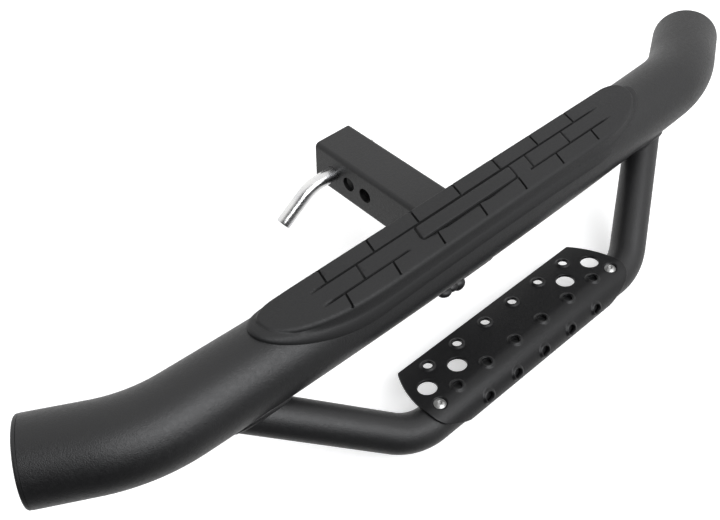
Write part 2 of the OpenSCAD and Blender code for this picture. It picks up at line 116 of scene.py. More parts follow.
def node(nt, kind, **values):
    n = nt.nodes.new(kind)
    for key, value in values.items():
        if key.startswith("in_"):
            n.inputs[key[3:].replace("_", " ")].default_value = value
        else:
            setattr(n, key, value)
    return n


def ramp(nt, source, stops):
    r = node(nt, "ShaderNodeValToRGB")
    nt.links.new(source, r.inputs["Fac"])
    el = r.color_ramp.elements
    while len(el) < len(stops):
        el.new(0.5)
    for e, (pos, col) in zip(el, stops):
        e.position = pos
        e.color = (*col, 1) if len(col) == 3 else (col[0], col[0], col[0], 1)
    return r


def coords(nt):
    return node(nt, "ShaderNodeTexCoord").outputs["Object"]


def noise(nt, scale, detail=2.0, rough=0.5, where=None):
    n = node(nt, "ShaderNodeTexNoise", in_Scale=scale, in_Detail=detail, in_Roughness=rough)
    nt.links.new(where or coords(nt), n.inputs["Vector"])
    return n.outputs["Fac"]


def bump(nt, heights, strength, distance, b):
    last = None
    for h, share in heights:
        n = node(nt, "ShaderNodeBump", in_Strength=strength * share, in_Distance=distance)
        nt.links.new(h, n.inputs["Height"])
        if last:
            nt.links.new(last, n.inputs["Normal"])
        last = n.outputs["Normal"]
    nt.links.new(last, b.inputs["Normal"])


def mottled(name, dark, light, rough, rough_span, grain, bump_strength, spec=0.5, metal=0.0,
            patch=6.0, bump_distance=0.0004):
    """A coat or plastic: its colour wanders a little, its grain stands up and its gloss varies."""
    m, nt, b = shader(name, rough, metal, spec)
    wide = noise(nt, patch, 4)
    fine = noise(nt, grain, 2, 0.6)
    mid = noise(nt, grain * 0.35, 3, 0.6)
    mix = node(nt, "ShaderNodeMath", operation="ADD")
    for slot, (source, weight) in enumerate([(fine, 0.45), (wide, 0.55)]):
        share = node(nt, "ShaderNodeMath", operation="MULTIPLY")
        share.inputs[1].default_value = weight
        nt.links.new(source, share.inputs[0])
        nt.links.new(share.outputs[0], mix.inputs[slot])
    col = ramp(nt, mix.outputs[0], [(0.32, dark), (0.68, light)])
    nt.links.new(col.outputs["Color"], b.inputs["Base Color"])
    gloss = ramp(nt, mid, [(0.3, (rough - rough_span,)), (0.7, (rough + rough_span,))])
    nt.links.new(gloss.outputs["Color"], b.inputs["Roughness"])
    bump(nt, [(fine, 1.0), (mid, 0.7)], bump_strength, bump_distance, b)
    return m


def bright_metal(name, colour, dark, rough, along=(1, 1, 1), scratch=260.0, strength=0.08):
    m, nt, b = shader(name, rough, 1.0)
    mapping = node(nt, "ShaderNodeMapping")
    mapping.inputs["Scale"].default_value = along
    nt.links.new(coords(nt), mapping.inputs["Vector"])
    lines = noise(nt, scratch, 4, 0.6, mapping.outputs[0])
    cloud = noise(nt, 45, 3)
    col = ramp(nt, cloud, [(0.3, dark), (0.62, colour)])
    nt.links.new(col.outputs["Color"], b.inputs["Base Color"])
    gloss = ramp(nt, lines, [(0.3, (max(rough - 0.1, 0.02),)), (0.72, (rough + 0.12,))])
    nt.links.new(gloss.outputs["Color"], b.inputs["Roughness"])
    bump(nt, [(lines, 1.0)], strength, 0.0002, b)
    return m


def paint_groove_shade(m):
    """Rougher, and darker by painted shade, where the mesh's groove value says that it lies deep between
    blocks.
    """
    nt = m.node_tree
    b = nt.nodes["Principled BSDF"]
    deep = node(nt, "ShaderNodeAttribute", attribute_name="groove").outputs["Fac"]
    dull = node(nt, "ShaderNodeMix", data_type="FLOAT")
    nt.links.new(deep, dull.inputs[0])
    nt.links.new(b.inputs["Roughness"].links[0].from_socket, dull.inputs[2])
    dull.inputs[3].default_value = 0.95
    nt.links.new(dull.outputs[0], b.inputs["Roughness"])
    # Painted shade: the colour is mixed towards near black by the groove value, standing for the shade deep
    # in the grooves.
    mix = node(nt, "ShaderNodeMix", data_type="RGBA")
    nt.links.new(deep, mix.inputs[0])
    nt.links.new(b.inputs["Base Color"].links[0].from_socket, mix.inputs[6])
    mix.inputs[7].default_value = (0.002, 0.002, 0.002, 1)
    nt.links.new(mix.outputs[2], b.inputs["Base Color"])


coat = mottled("powder_coat", (0.008, 0.008, 0.0085), (0.013, 0.013, 0.0135), 0.43, 0.06, 900, 0.5)
weld_coat = mottled("weld_coat", (0.007, 0.007, 0.0075), (0.012, 0.012, 0.0125), 0.42, 0.06, 800, 0.5)
plate_coat = mottled("plate_coat", (0.005, 0.005, 0.0055), (0.009, 0.009, 0.0095), 0.4, 0.06, 900, 0.4,
                     spec=0.36)
pad_poly = mottled("pad_polymer", (0.009, 0.009, 0.0093), (0.014, 0.014, 0.0147), 0.58, 0.06, 1300, 0.35,
                   spec=0.42)
# The pad's grooves get painted shade in their colour.
paint_groove_shade(pad_poly)
cap_plastic = mottled("cap_plastic", (0.009, 0.009, 0.0095), (0.014, 0.014, 0.0145), 0.44, 0.05, 1100, 0.3)
nylon = mottled("clip_nylon", (0.3, 0.29, 0.26), (0.4, 0.39, 0.35), 0.45, 0.05, 500, 0.15)
screw_steel = bright_metal("screw_steel", (0.5, 0.5, 0.49), (0.34, 0.34, 0.34), 0.42, (1, 1, 1), 700)
zinc = bright_metal("zinc", (0.66, 0.66, 0.64), (0.48, 0.48, 0.46), 0.32)
pin_zinc = bright_metal("pin_zinc", (0.9, 0.9, 0.89), (0.74, 0.74, 0.76), 0.24, (1, 9, 9), 90)
spring = bright_metal("spring_steel", (0.7, 0.7, 0.69), (0.5, 0.5, 0.5), 0.24)
FOR_SLOT = {"powder_coat": coat, "weld_coat": weld_coat, "plate_coat": plate_coat,
            "pad_polymer": pad_poly, "cap_plastic": cap_plastic, "clip_nylon": nylon,
            "screw_steel": screw_steel, "zinc": zinc, "pin_zinc": pin_zinc,
            "spring_steel": spring}
for part in frame["record"]["subparts"]:
    mats = frame["nodes"][part["node"]].data.materials
    for i in range(len(mats)):
        mats[i] = FOR_SLOT[part["material_slot"]]


# Meshes

def make(name, verts, faces, slot, body, *nodes, place=None, marks=None):
    """A closed mesh from points in millimetres, riding on body and standing for nodes."""
    me = bpy.data.meshes.new(name)
    pts = [place(Vector(v)) if place else Vector(v) for v in verts]
    me.from_pydata([tuple(p * MM) for p in pts], [], faces)
    bm = bmesh.new()
    bm.from_mesh(me)
    if marks is not None:
        layer = bm.verts.layers.float.new("groove")
        for v, mark in zip(bm.verts, marks):
            v[layer] = float(mark)
    bmesh.ops.remove_doubles(bm, verts=bm.verts, dist=1e-6)
    bmesh.ops.recalc_face_normals(bm, faces=bm.faces)
    bm.to_mesh(me)
    bm.free()
    me.polygons.foreach_set("use_smooth", [True] * len(me.polygons))
    me.materials.append(FOR_SLOT[slot])
    ob = bpy.data.objects.new(name, me)
    bpy.context.scene.collection.objects.link(ob)
    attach(ob, body)
    if nodes:
        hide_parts(*nodes)
    return ob


def sharp(ob, degrees=40):
    ob.data.set_sharp_from_angle(angle=math.radians(degrees))


def at_tube(p):
    return p + TUBE_AT


def turned(p, a):
    """p turned about X by a."""
    c, s = math.cos(a), math.sin(a)
    return Vector((p.x, p.y * c - p.z * s, p.y * s + p.z * c))


def at_pad(p):
    return at_tube(turned(p, PAD_LEAN))


def at_hoop(p):
    return at_tube(turned(p, HOOP_SLOPE) - Vector((0, 0, HOOP_DROP)))


def at_run(p):
    return p + at_hoop(Vector((0, -HOOP_DEPTH, 0)))


def at_plate(p):
    return at_run(turned(p, -PLATE_TILT))


def chain(half):
    """Right half of a path in a plane, from legs (kind, length or radius, turn, steps)."""
    x, y, h = 0.0, 0.0, 0.0
    out = [(x, y, h)]
    for kind, size, turn, steps in half:
        for _ in range(steps):
            if kind == "bend":
                step = turn / steps
                x += size * (math.sin(h + step) - math.sin(h))
                y += size * (math.cos(h) - math.cos(h + step))
                h += step
            else:
                x += size / steps * math.cos(h)
                y += size / steps * math.sin(h)
            out.append((x, y, h))
    return out


def both(half):
    return [(-x, y, -h) for x, y, h in reversed(half[1:])] + half


def pipe(path, r, around, inner=None):
    """A bar or tube round a path of (x, y, heading) in the XY plane."""
    verts, faces = [], []
    def rings(radius, flip):
        base = len(verts)
        for x, y, h in path:
            for k in range(around):
                a = 2 * math.pi * k / around
                side = radius * math.cos(a)
                verts.append((x - math.sin(h) * side, y + math.cos(h) * side, radius * math.sin(a)))
        for i in range(len(path) - 1):
            for k in range(around):
                n = (k + 1) % around
                q = [base + i * around + k, base + i * around + n,
                     base + (i + 1) * around + n, base + (i + 1) * around + k]
                faces.append(q[::-1] if flip else q)
        return base
    outer = rings(r, False)
    last = (len(path) - 1) * around
    if inner:
        core = rings(inner, True)
        for row in (0, last):
            for k in range(around):
                n = (k + 1) % around
                faces.append([outer + row + k, outer + row + n, core + row + n, core + row + k])
    else:
        faces.append([outer + k for k in range(around)])
        faces.append([outer + last + k for k in range(around)])
    return verts, faces


main_half = chain([("bend", BOW_R, bow_a, 60), ("bend", END_BEND_R, END_BEND_A, 26),
                   ("line", END_STUB, 0, 6)])
v, f = pipe(both(main_half), TUBE_R, 128, TUBE_R - TUBE_WALL)
tube = make("cross_tube", v, f, "powder_coat", "step", "main_tube", place=at_tube)
sharp(tube)

hoop_half = chain([("line", hoop_run_half, 0, 20), ("bend", HOOP_BEND_R, hoop_turn, 28),
                   ("line", leg_l + 6, 0, 24)])
v, f = pipe(both([(x, y - HOOP_DEPTH, h) for x, y, h in hoop_half]), HOOP_R, 96)
hoop = make("hoop_tube", v, f, "powder_coat", "step", "drop_tube", place=at_hoop)
sharp(hoop)


# Flat shapes with constraint edges, used for the pad and the plate

class Sheet:
    def __init__(self):
        self.pts, self.edges = [], []

    def line(self, pts, closed=False):
        base = len(self.pts)
        self.pts += [Vector((p[0], p[1])) for p in pts]
        n = len(pts)
        self.edges += [(base + i, base + (i + 1) % n) for i in range(n if closed else n - 1)]

    def dots(self, pts):
        self.pts += [Vector((p[0], p[1])) for p in pts]

    def solve(self):
        v, _, f, *_ = geometry.delaunay_2d_cdt(self.pts, self.edges, [], 0, 1e-4)
        return np.array([tuple(p) for p in v]), np.array(f)


def inside(pts, poly):
    """Which pts lie in a polygon."""
    x, y = pts[:, 0], pts[:, 1]
    out = np.zeros(len(pts), bool)
    for (x1, y1), (x2, y2) in zip(poly, np.roll(poly, -1, 0)):
        hit = ((y1 > y) != (y2 > y))
        out ^= hit & (x < (x2 - x1) * (y - y1) / (y2 - y1 + 1e-12) + x1)
    return out


def distance(pts, poly):
    """Signed distance to a polygon, positive inside."""
    best = np.full(len(pts), 1e9)
    for a, b in zip(poly, np.roll(poly, -1, 0)):
        ab = b - a
        t = np.clip(((pts - a) @ ab) / max(ab @ ab, 1e-12), 0, 1)
        best = np.minimum(best, np.linalg.norm(pts - a - t[:, None] * ab, axis=1))
    return np.where(inside(pts, poly), best, -best)


def resample(poly, step):
    """Points at an even step round a closed polygon."""
    closed = np.vstack([poly, poly[:1]])
    seg = np.linalg.norm(np.diff(closed, axis=0), axis=1)
    at = np.concatenate([[0], np.cumsum(seg)])
    n = int(at[-1] / step)
    want = np.arange(n) * at[-1] / n
    return np.stack([np.interp(want, at, closed[:, k]) for k in (0, 1)], 1)


def offset(poly, d):
    """The polygon moved in by d along its normals."""
    t = np.roll(poly, -1, 0) - np.roll(poly, 1, 0)
    t /= np.linalg.norm(t, axis=1)[:, None]
    return poly + d * np.stack([-t[:, 1], t[:, 0]], 1)


def only_used(xy, tri):
    """The points that the triangles use, and the triangles over those points."""
    used = np.unique(tri)
    remap = -np.ones(len(xy), int)
    remap[used] = np.arange(len(used))
    return xy[used], remap[tri]


def slab(name, xy, tri, top, under, slot, body, *nodes, place=None, marks=None):
    """A closed sheet between two height lists over one triangulation."""
    n = len(xy)
    verts = [(*p, h) for p, h in zip(xy, top)] + [(*p, h) for p, h in zip(xy, under)]
    faces = [list(map(int, t)) for t in tri] + [[int(i) + n for i in t[::-1]] for t in tri]
    count = {}
    for t in tri:
        for a, b in ((t[0], t[1]), (t[1], t[2]), (t[2], t[0])):
            count.setdefault((min(a, b), max(a, b)), []).append((a, b))
    for pairs in count.values():
        if len(pairs) == 1:
            a, b = map(int, pairs[0])
            faces.append([b, a, a + n, b + n])
    return make(name, verts, faces, slot, body, *nodes, place=place, marks=marks)


# The pad

def nose(cx, cu, a, b, steps, power):
    return [(cx + a * math.sin(t) ** (2 / power), cu + b * max(math.cos(t), 0) ** (2 / power))
            for t in (math.pi / 2 * i / steps for i in range(steps + 1))]


def oval_side(half, cu, near, far, near_l, far_l, power):
    """One end of an oval, from its near side round its nose to its far side."""
    side = nose(half - near_l, cu, near_l, near - cu, 40, power)
    return side + nose(half - far_l, cu, far_l, far - cu, 40, power)[::-1][1:]


def oval(half, cu, near, far, near_left, near_right, far_left, far_right, power):
    right = oval_side(half, cu, near, far, near_right, far_right, power)
    left = oval_side(half, cu, near, far, near_left, far_left, power)
    return np.array(right + [(-x, u) for x, u in left[::-1]])


def bow_y(x):
    return BOW_R - np.sqrt(BOW_R ** 2 - x * x)


def tube_top(x, u, r):
    """Height in the pad's frame of a sleeve of radius r round the cross tube."""
    y = bow_y(x)
    cu, ch = y * math.cos(PAD_LEAN), -y * math.sin(PAD_LEAN)
    return ch + np.sqrt(np.maximum(r * r - (u - cu) ** 2, 1.0))


def rounded_panel(half, side, slant, r, steps=8):
    """A panel with rounded corners whose ends lean with the cross grooves."""
    corners = [(-half + r, -side + r, 180), (half - r, -side + r, 270), (half - r, side - r, 0),
               (-half + r, side - r, 90)]
    pts = []
    for cx, cu, start in corners:
        for k in range(steps + 1):
            a = math.radians(start + 90 * k / steps)
            u = cu + r * math.sin(a)
            pts.append((PLAQUE_X + cx + r * math.cos(a) + u * math.tan(slant), u))
    return np.array(pts)


def groove_lines():
    """Middle lines of the grooves between the blocks, and how far each fades at its ends."""
    row = PAD_FAR - ROW_HALF + 4
    lines = [((-LONG_GROOVE, ROW_HALF), (LONG_GROOVE, ROW_HALF), GROOVE_FADE),
             ((-LONG_GROOVE, -ROW_HALF), (LOW_GROOVE[0], -ROW_HALF), GROOVE_FADE),
             ((LOW_GROOVE[1], -ROW_HALF), (LONG_GROOVE, -ROW_HALF), GROOVE_FADE)]
    tilt = (math.sin(BLOCK_SLANT), math.cos(BLOCK_SLANT))
    def cross(x, u, half):
        dx, du = tilt[0] * half, tilt[1] * half
        lines.append(((x - dx, u - du), (x + dx, u + du), 0))
    for i in range(-3, 4):
        cross(i * BLOCK_L - CROSS_SHIFT, ROW_HALF + row / 2, row / 2)
        near = (NEAR_ROW_END - ROW_HALF) / 2
        cross(i * BLOCK_L - CROSS_SHIFT, -ROW_HALF - near, near)
    for i in (-2.5, 1.5, 2.5):
        cross(i * BLOCK_L - CROSS_SHIFT, 0, ROW_HALF)
    return [(np.array(a), np.array(b), fade) for a, b, fade in lines]


def pad():
    top_line = resample(oval(PAD_HALF, PAD_NOSE_U, PAD_NEAR, PAD_FAR, PAD_NOSE_LEFT, PAD_NOSE_RIGHT,
                             PAD_FAR_NOSE, PAD_FAR_NOSE, NOSE_POWER), 2.5)
    skirt_line = resample(oval(PAD_HALF + SKIRT_OUT, SKIRT_NOSE_U, SKIRT_NEAR, SKIRT_FAR, SKIRT_NOSE,
                               SKIRT_NOSE, SKIRT_FAR_LEFT, SKIRT_NOSE, SKIRT_POWER), 2.5)
    panel = rounded_panel(PLAQUE_HALF, PLAQUE_SIDE, BLOCK_SLANT, PLAQUE_CORNER)
    s = Sheet()
    for d in (0, 0.15, 0.4, 0.8, 1.3, 1.9, 2.6, 3.4):
        s.line(offset(skirt_line, d), True)
    for d in (-3.0, -2.2, -1.5, -1.0, -0.6, -0.25, 0, 0.12, 0.3, 0.6, 1.0, 1.5, 2.2, 3.0, 4.0):
        s.line(offset(top_line, d), True)
    for d in (-GROOVE_W - 0.25, -GROOVE_W, -GROOVE_W + 0.3, -0.3, 0, 0.25, 0.7):
        s.line(offset(panel, d), True)
    half = GROOVE_W / 2
    cuts = groove_lines()
    for a, b, _ in cuts:
        d = (b - a) / np.linalg.norm(b - a)
        n = np.array([-d[1], d[0]])
        count = max(int(np.linalg.norm(b - a) / 2.5), 4)
        for o in (-half - 0.25, -half, -half + 0.3, half - 0.3, half, half + 0.25):
            pts = a + np.outer(np.linspace(0, 1, count), b - a) + n * o
            s.line(pts[(distance(pts, top_line) > 0.15) & (distance(pts, panel) < -GROOVE_W - 0.3)])
    gx, gu = np.meshgrid(np.arange(-262, 263, 3.2), np.arange(-33, 34, 3.1))
    s.dots(np.stack([gx.ravel(), gu.ravel()], 1))
    xy, tri = s.solve()
    tri = tri[distance(xy[tri].mean(1), skirt_line) > 0]
    xy, tri = only_used(xy, tri)
    x, u = xy[:, 0], xy[:, 1]
    d = distance(xy, top_line)
    ds = np.maximum(distance(xy, skirt_line), 0)
    # Top of the raised oval, with rounded edge and grooves
    edge = 1.2 + 3.0 * np.clip((4 - u) / 16, 0, 1) + 1.6 * np.clip((-x - 205) / 40, 0, 1)
    edge = np.minimum(edge, 4.2)
    crown = PAD_H - PAD_CROWN_R + np.sqrt(PAD_CROWN_R ** 2 - u * u)
    drop = edge - np.sqrt(np.maximum(edge ** 2 - np.maximum(edge - d, 0) ** 2, 0))
    deep = np.zeros(len(xy))
    for a, b, fade in cuts:
        ab = b - a
        along = ((xy - a) @ ab) / (ab @ ab)
        t = np.clip(along, 0, 1)
        away = np.linalg.norm(xy - a - t[:, None] * ab, axis=1)
        g = GROOVE_DEPTH * np.clip((half + 0.25 - away) / 0.45, 0, 1)
        if fade:
            ends = np.minimum(np.abs(x + LONG_GROOVE), np.abs(x - LONG_GROOVE))
            g *= np.clip(ends / fade, 0, 1)
        deep = np.maximum(deep, g)
    dp = distance(xy, panel)
    ring = np.clip((dp + GROOVE_W + 0.25) / 0.5, 0, 1) * np.clip((0.1 - dp) / 0.4, 0, 1)
    deep = np.where(dp > 0.12, 0, np.maximum(deep, GROOVE_DEPTH * ring))
    raised = crown - drop - deep + np.where(dp > 0, PLAQUE_H * np.clip(dp / 0.7, 0, 1), 0)
    # Skirt on the tube, with a rounded rim
    rim = 4.2
    round_rim = np.sqrt(np.clip(1 - (1 - np.clip(ds / rim, 0, 1)) ** 2, 0, 1))
    skirt = tube_top(x, u, TUBE_R + SKIRT_T * (0.2 + 0.8 * round_rim))
    foot = 2.2
    wall = np.clip((d + foot) / foot, 0, 1) ** 2
    top = np.where(d >= 0, raised, skirt + np.maximum(crown - edge - skirt, 0) * wall)
    top = np.where(d >= 0, np.maximum(top, np.minimum(skirt + 0.3, crown)), top)
    under = tube_top(x, u, TUBE_R + 0.02)
    top = np.maximum(top, under + 0.15)
    return slab("step_pad_top", xy, tri, top, under, "pad_polymer", "step", "step_pad",
                place=at_pad, marks=np.concatenate([deep / GROOVE_DEPTH, np.zeros(len(deep))]))


pad_piece = pad()
sharp(pad_piece, 75)


# The perforated plate, drawn unrolled and bent round the hoop

END_ARC_S = -4.0
END_ARC_R = ((PLATE_FLAT - END_ARC_S) ** 2 + PLATE_TAPER ** 2) / (2 * PLATE_TAPER)
LIP_CORNER_R = 27.0
SEAT_R, SEAT_EDGE = SCREW_HEAD_R + 0.4, 1.6


def plate_x(s):
    if s >= END_ARC_S:
        return PLATE_HALF - END_ARC_R + math.sqrt(END_ARC_R ** 2 - (s - END_ARC_S) ** 2)
    sixty = math.radians(60)
    if s >= END_ARC_S - LIP_CORNER_R * math.sin(sixty):
        return PLATE_HALF - LIP_CORNER_R + math.sqrt(LIP_CORNER_R ** 2 - (s - END_ARC_S) ** 2)
    return (PLATE_HALF - LIP_CORNER_R * 0.5
            + (s - END_ARC_S + LIP_CORNER_R * math.sin(sixty)) * math.tan(sixty))


def on_plate(p):
    """From the unrolled plate (x, s, height over the outer face) to the part."""
    if p.y >= 0:
        q = Vector((p.x, p.y, plate_r + p.z))
    else:
        a = -p.y / plate_r
        q = Vector((p.x, -(plate_r + p.z) * math.sin(a), (plate_r + p.z) * math.cos(a)))
    q = at_plate(q)
    seat = at_run(Vector((0, 0, plate_r - SCREW_SINK)))
    away = math.hypot(abs(q.x) - SCREW_X, q.y - seat.y)
    if away < SEAT_R:
        q.z = min(q.z, seat.z)
    elif away < SEAT_R + SEAT_EDGE:
        q.z = min(q.z, seat.z + (away - SEAT_R) / SEAT_EDGE * SCREW_SINK)
    return q


def plate():
    s_end = -plate_r * LIP_A
    side = [(plate_x(s), s) for s in np.linspace(s_end, PLATE_FLAT, 60)]
    line = resample(np.array(side + [(-x, y) for x, y in side[::-1]]), 2.0)
    s = Sheet()
    for d in (0, 0.2, 0.5, 0.9, 1.4):
        s.line(offset(line, d), True)
    dimples = [((i - 2.5) * dimple_step, y) for i in range(6) for y in DIMPLE_ROWS]
    dimples += [(i * dimple_step, -plate_r * DIMPLE_LIP_A) for i in range(-2, 3)]
    drain_y = sum(DIMPLE_ROWS) / 2
    drains = [(i * dimple_step, drain_y) for i in (-3, -2, 2, 3)]
    screws = [(i * SCREW_X, -plate_r * PLATE_TILT) for i in (-1, 1)]
    holes = ([(p, DIMPLE_HOLE_R, (0, 0.3, 0.7, 1.2, 1.8, 2.4, 3.0, 3.6, 4.2), 40) for p in dimples]
             + [(p, DRAIN_R, (0, 0.2, 0.5, 0.9), 64) for p in drains]
             + [(p, SCREW_HOLE_R, (0, 1.0, 1.95, 2.1, 2.6, 3.2, 3.7, 4.0), 48) for p in screws])
    for (cx, cy), r, rings, count in holes:
        for extra in rings:
            s.line([(cx + (r + extra) * math.cos(2 * math.pi * k / count),
                     cy + (r + extra) * math.sin(2 * math.pi * k / count)) for k in range(count)], True)
    for y in np.arange(s_end + 2, PLATE_FLAT - 1, 3.0):
        w = plate_x(y) - 2.5
        s.dots([(x, y) for x in np.arange(-w, w, 4.0)])
    xy, tri = s.solve()
    mid = xy[tri].mean(1)
    keep = distance(mid, line) > 0
    for (cx, cy), r, _, count in holes:
        keep &= np.hypot(mid[:, 0] - cx, mid[:, 1] - cy) > r * math.cos(math.pi / count) - 0.01
    tri = tri[keep]
    xy, tri = only_used(xy, tri)
    ease = 1.1
    d = np.clip(distance(xy, line), 0, None)
    up = -(ease - np.sqrt(np.maximum(ease ** 2 - np.maximum(ease - d, 0) ** 2, 0))) * 0.9
    low = -up * 0.6
    for (cx, cy), r, _, _ in holes[:len(dimples)]:
        far = np.hypot(xy[:, 0] - cx, xy[:, 1] - cy)
        t = np.clip((DIMPLE_FOOT_R + 0.6 - far) / (DIMPLE_FOOT_R + 0.6 - r - 0.7), 0, 1)
        rise = DIMPLE_H * t * t * (3 - 2 * t)
        lip = np.clip((r + 0.7 - far) / 0.7, 0, 1)
        up += rise - 0.55 * lip * lip
        low += rise
    for (cx, cy), r, _, _ in holes[len(dimples):len(dimples) + len(drains)]:
        far = np.hypot(xy[:, 0] - cx, xy[:, 1] - cy)
        t = np.clip((r + 0.9 - far) / 0.9, 0, 1)
        up -= 0.7 * (1 - np.sqrt(1 - t * t))
    return slab("tread_plate", xy, tri, up, low - PLATE_T + 0.05, "plate_coat", "step", "step_plate",
                place=on_plate)


tread = plate()
sharp(tread, 50)


# Weld beads

def tube_axis_gap(p):
    """Distance from p, in the tube's frame, to the cross tube's bowed axis."""
    y = p.y - float(bow_y(np.float64(p.x)))
    return math.hypot(y, p.z)


def bead(name, curve, outs, r, closed, *nodes):
    """A rippled bead along curve; outs are the directions it faces."""
    n, around = len(curve), 14
    verts, faces = [], []
    wander = [rnd.uniform(-0.25, 0.25) for _ in range(n)]
    run = 0.0
    for i in range(n):
        a, b = curve[i - 1 if i or closed else 0], curve[(i + 1) % n if i < n - 1 or closed else i]
        t = (b - a).normalized()
        out = (outs[i] - t * outs[i].dot(t)).normalized()
        side = t.cross(out)
        run += (curve[i] - curve[i - 1]).length if i else 0
        phase = (run / 2.4) % 1.0
        rr = r * (0.9 + 0.13 * math.sin(math.pi * phase) + 0.12 * wander[i])
        if not closed:
            rr *= min(1.0, 0.35 + min(i, n - 1 - i) / 5)
        for k in range(around):
            a = 2 * math.pi * k / around
            verts.append(curve[i] + out * (rr * 0.8 * math.cos(a)) + side * (rr * 1.15 * math.sin(a)))
    for i in range(n if closed else n - 1):
        j = (i + 1) % n
        for k in range(around):
            m = (k + 1) % around
            faces.append([i * around + k, i * around + m, j * around + m, j * around + k])
    if not closed:
        faces.append(list(range(around)))
        faces.append([(n - 1) * around + k for k in range(around)])
    return make(name, verts, faces, "weld_coat", "step", *nodes, place=at_tube)


def leg_curve():
    x, y, h = hoop_half[-1]
    foot = Vector((x, y - HOOP_DEPTH, 0))
    along = Vector((math.cos(h), math.sin(h), 0))
    e1 = Vector((-math.sin(h), math.cos(h), 0))
    e2 = Vector((0, 0, 1))
    curve, outs = [], []
    n = 150
    for k in range(n):
        a = 2 * math.pi * k / n
        ring = e1 * math.cos(a) + e2 * math.sin(a)
        start = foot + ring * HOOP_R - along * 90
        t0, t1 = 0.0, 140.0
        def where(t):
            return turned(start + along * t, HOOP_SLOPE) - Vector((0, 0, HOOP_DROP))
        for _ in range(40):
            tm = (t0 + t1) / 2
            if tube_axis_gap(where(tm)) > TUBE_R:
                t0 = tm
            else:
                t1 = tm
        p = where(t0)
        away = Vector((0, p.y - float(bow_y(np.float64(p.x))), p.z)).normalized()
        curve.append(p)
        outs.append((turned(ring, HOOP_SLOPE) + away).normalized())
    return curve, outs


def flip(p):
    return Vector((-p.x, p.y, p.z))


curve, outs = leg_curve()
bead("weld_right", curve, outs, 3.1, True, "leg_weld_right")
bead("weld_left", [flip(p) for p in curve[::-1]], [flip(p) for p in outs[::-1]], 3.1, True,
     "leg_weld_left")


def shank_curve():
    """From the shank's lower end, up its left side, over its top and down the right."""
    w, c = SHANK_W / 2, SHANK_CORNER
    low = -TUBE_RISE
    pts = []
    y_side = np.concatenate([np.linspace(-16, 0, 12), np.linspace(2, 31, 16)])
    for y in y_side:
        pts.append((Vector((-w, y, -math.sqrt(TUBE_R ** 2 - y * y))), Vector((-1, 0, 0))))
    for z in np.linspace(-19, low + w - c, 14):
        pts.append((Vector((-w, math.sqrt(TUBE_R ** 2 - z * z), z)), Vector((-1, 0, 0))))
    for a in np.linspace(0.15, math.pi / 2, 7):
        z = low + w - c + c * math.sin(a)
        pts.append((Vector((-w + c - c * math.cos(a), math.sqrt(TUBE_R ** 2 - z * z), z)),
                    Vector((-math.cos(a), 0, math.sin(a)))))
    top_z = low + w
    for x in np.linspace(-w + c + 2, 0, 10)[:-1]:
        pts.append((Vector((x, math.sqrt(TUBE_R ** 2 - top_z ** 2), top_z)), Vector((0, 0, 1))))
    mirrored = [(flip(p), flip(o)) for p, o in pts[::-1]]
    pts = pts + [(Vector((0, math.sqrt(TUBE_R ** 2 - top_z ** 2), top_z)), Vector((0, 0, 1)))] + mirrored
    line = [p for p, _ in pts]
    outs = [(o + Vector((0, p.y, p.z)).normalized()).normalized() for p, o in pts]
    dense, dense_outs = [], []
    for i in range(len(line) - 1):
        k = max(int((line[i + 1] - line[i]).length / 0.8), 1)
        for j in range(k):
            t = j / k
            dense.append(line[i].lerp(line[i + 1], t))
            dense_outs.append(outs[i].lerp(outs[i + 1], t).normalized())
    return dense, dense_outs


curve, outs = shank_curve()
bead("weld_shank", curve, outs, 3.0, False, "shank_weld")


def blob(name, centre, size, seed):
    """A weld lump: a ball with a wandering surface."""
    bm = bmesh.new()
    bmesh.ops.create_icosphere(bm, subdivisions=4, radius=1.0)
    r = random.Random(seed)
    dirs = [Vector((r.gauss(0, 1), r.gauss(0, 1), r.gauss(0, 1))).normalized() for _ in range(14)]
    for v in bm.verts:
        d = v.co.normalized()
        k = 1 + sum(0.06 * max(d.dot(q), 0) ** 6 for q in dirs)
        v.co = Vector((d.x * size[0], d.y * size[1], d.z * size[2])) * k
    verts = [tuple(v.co + Vector(centre)) for v in bm.verts]
    faces = [[v.index for v in f.verts] for f in bm.faces]
    bm.free()
    return make(name, verts, faces, "weld_coat", "step", place=at_tube)


LUMPS = [((-35, -21, -38.5), (8.2, 6.8, 6.4), 3),
         ((-43.5, -21, -36.8), (7.2, 6.4, 5.4), 5),
         ((-52.5, -21, -37.6), (7.8, 6.6, 5.2), 9)]
for i, (centre, size, seed) in enumerate(LUMPS):
    blob("weld_lump_" + str(i + 1), centre, size, seed)


# Turned and swept pieces

def turning(name, profile, steps, slot, body, *nodes, place):
    """A closed solid of revolution about local Z, from (radius, height) points on both ends' axis."""
    verts, faces, rings = [], [], []
    for r, h in profile:
        if r < 1e-6:
            rings.append([len(verts)])
            verts.append((0, 0, h))
        else:
            rings.append(list(range(len(verts), len(verts) + steps)))
            verts += [(r * math.cos(2 * math.pi * k / steps), r * math.sin(2 * math.pi * k / steps), h)
                      for k in range(steps)]
    pairs = list(zip(rings, rings[1:]))
    if profile[0][0] > 1e-6:
        pairs.append((rings[-1], rings[0]))
    for low, high in pairs:
        for k in range(steps):
            n = (k + 1) % steps
            face = [low[k % len(low)], low[n % len(low)], high[n % len(high)], high[k % len(high)]]
            faces.append(list(dict.fromkeys(face)))
    return make(name, verts, faces, slot, body, *nodes, place=place)


def arc(cx, cy, r, start, end, steps):
    return [(cx + r * math.cos(math.radians(start + (end - start) * k / steps)),
             cy + r * math.sin(math.radians(start + (end - start) * k / steps))) for k in range(steps + 1)]


